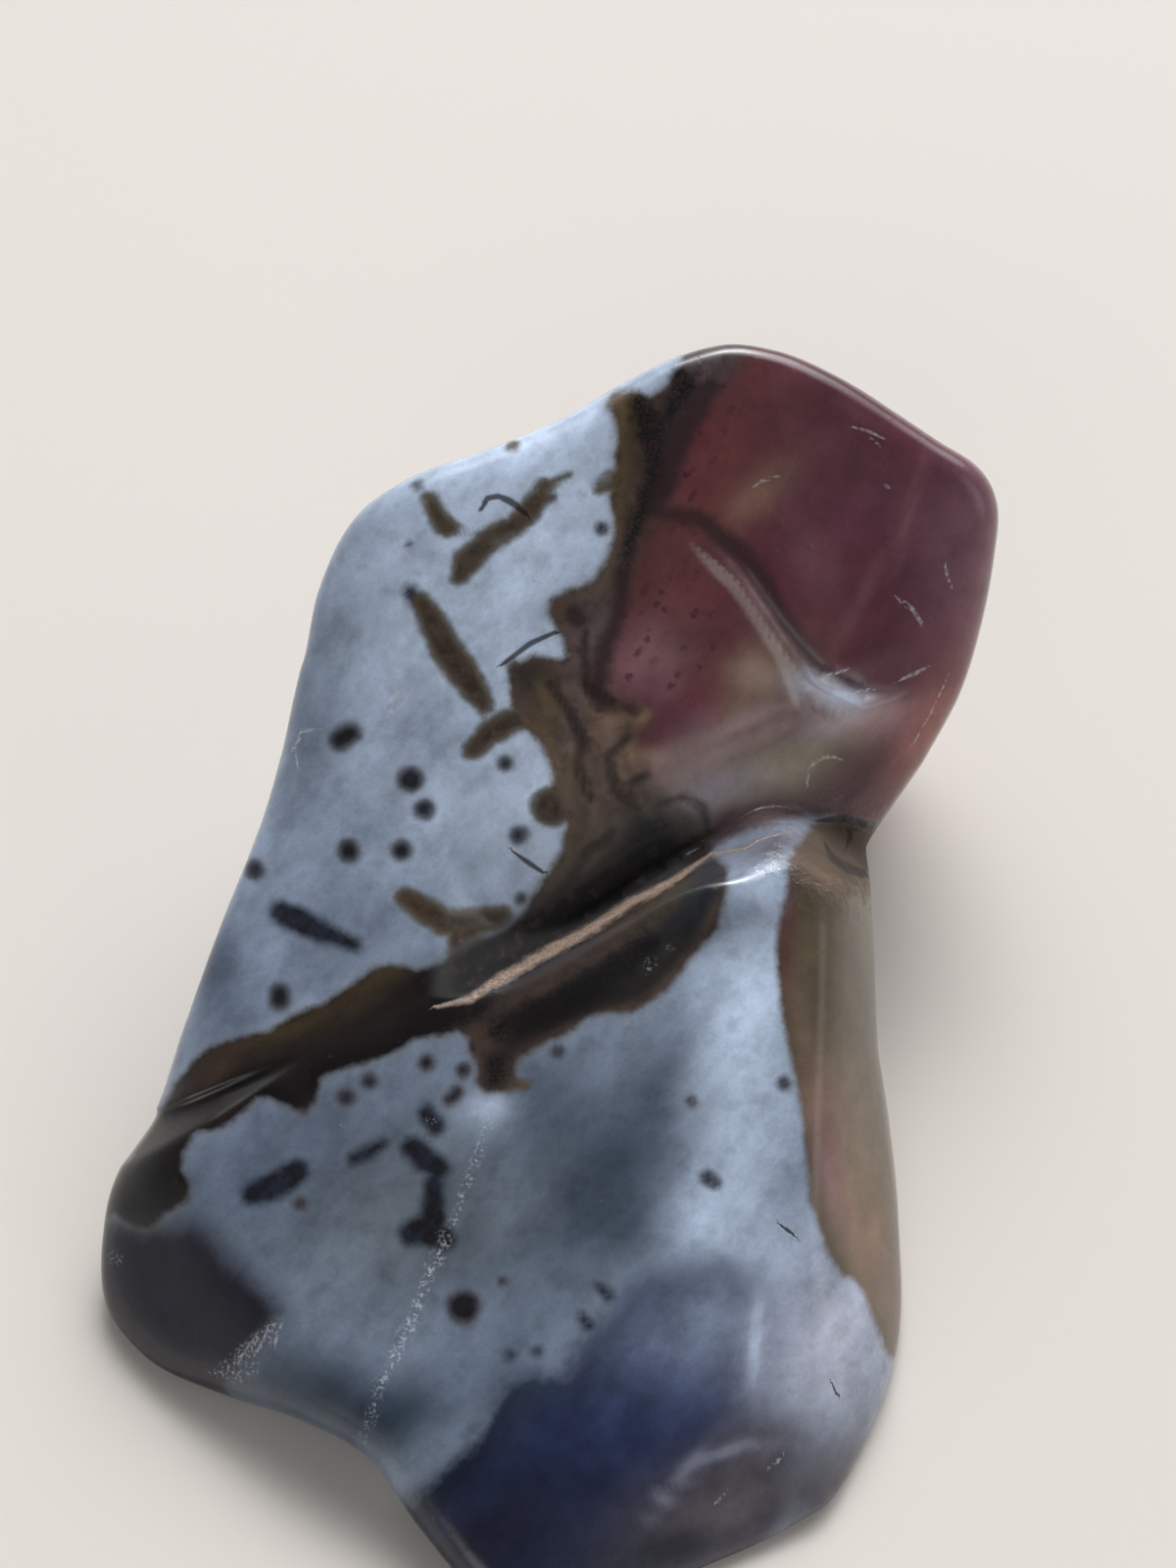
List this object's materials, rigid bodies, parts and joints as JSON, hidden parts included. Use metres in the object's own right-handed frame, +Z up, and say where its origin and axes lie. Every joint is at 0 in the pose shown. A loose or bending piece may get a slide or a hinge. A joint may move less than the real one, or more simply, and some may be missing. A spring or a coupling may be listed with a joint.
{
  "type": "polychrome jasper tumbled stone",
  "caption": "Polished pebble of grey-blue jasper with brown veins, a red head and a creased waist; it rests on a worn flat foot, as decor or a tabletop prop.",
  "frame": {"origin": "on the ground under the middle of the stone's box, with the stone at rest on its foot", "axes": "+Z up, +Y along the stone from its low near end to its raised head, +X to the right for someone who looks along +Y at the polished front"},
  "size_m": [0.038, 0.05, 0.0219],
  "materials": {
    "polished_jasper": "glossy tumble-polished stone: grey-blue ground, brown and dark green veins and spots, maroon head, dark blue near end"
  },
  "bodies": {
    "root": {"jasper_stone": "polished_jasper"}
  },
  "joints": []
}
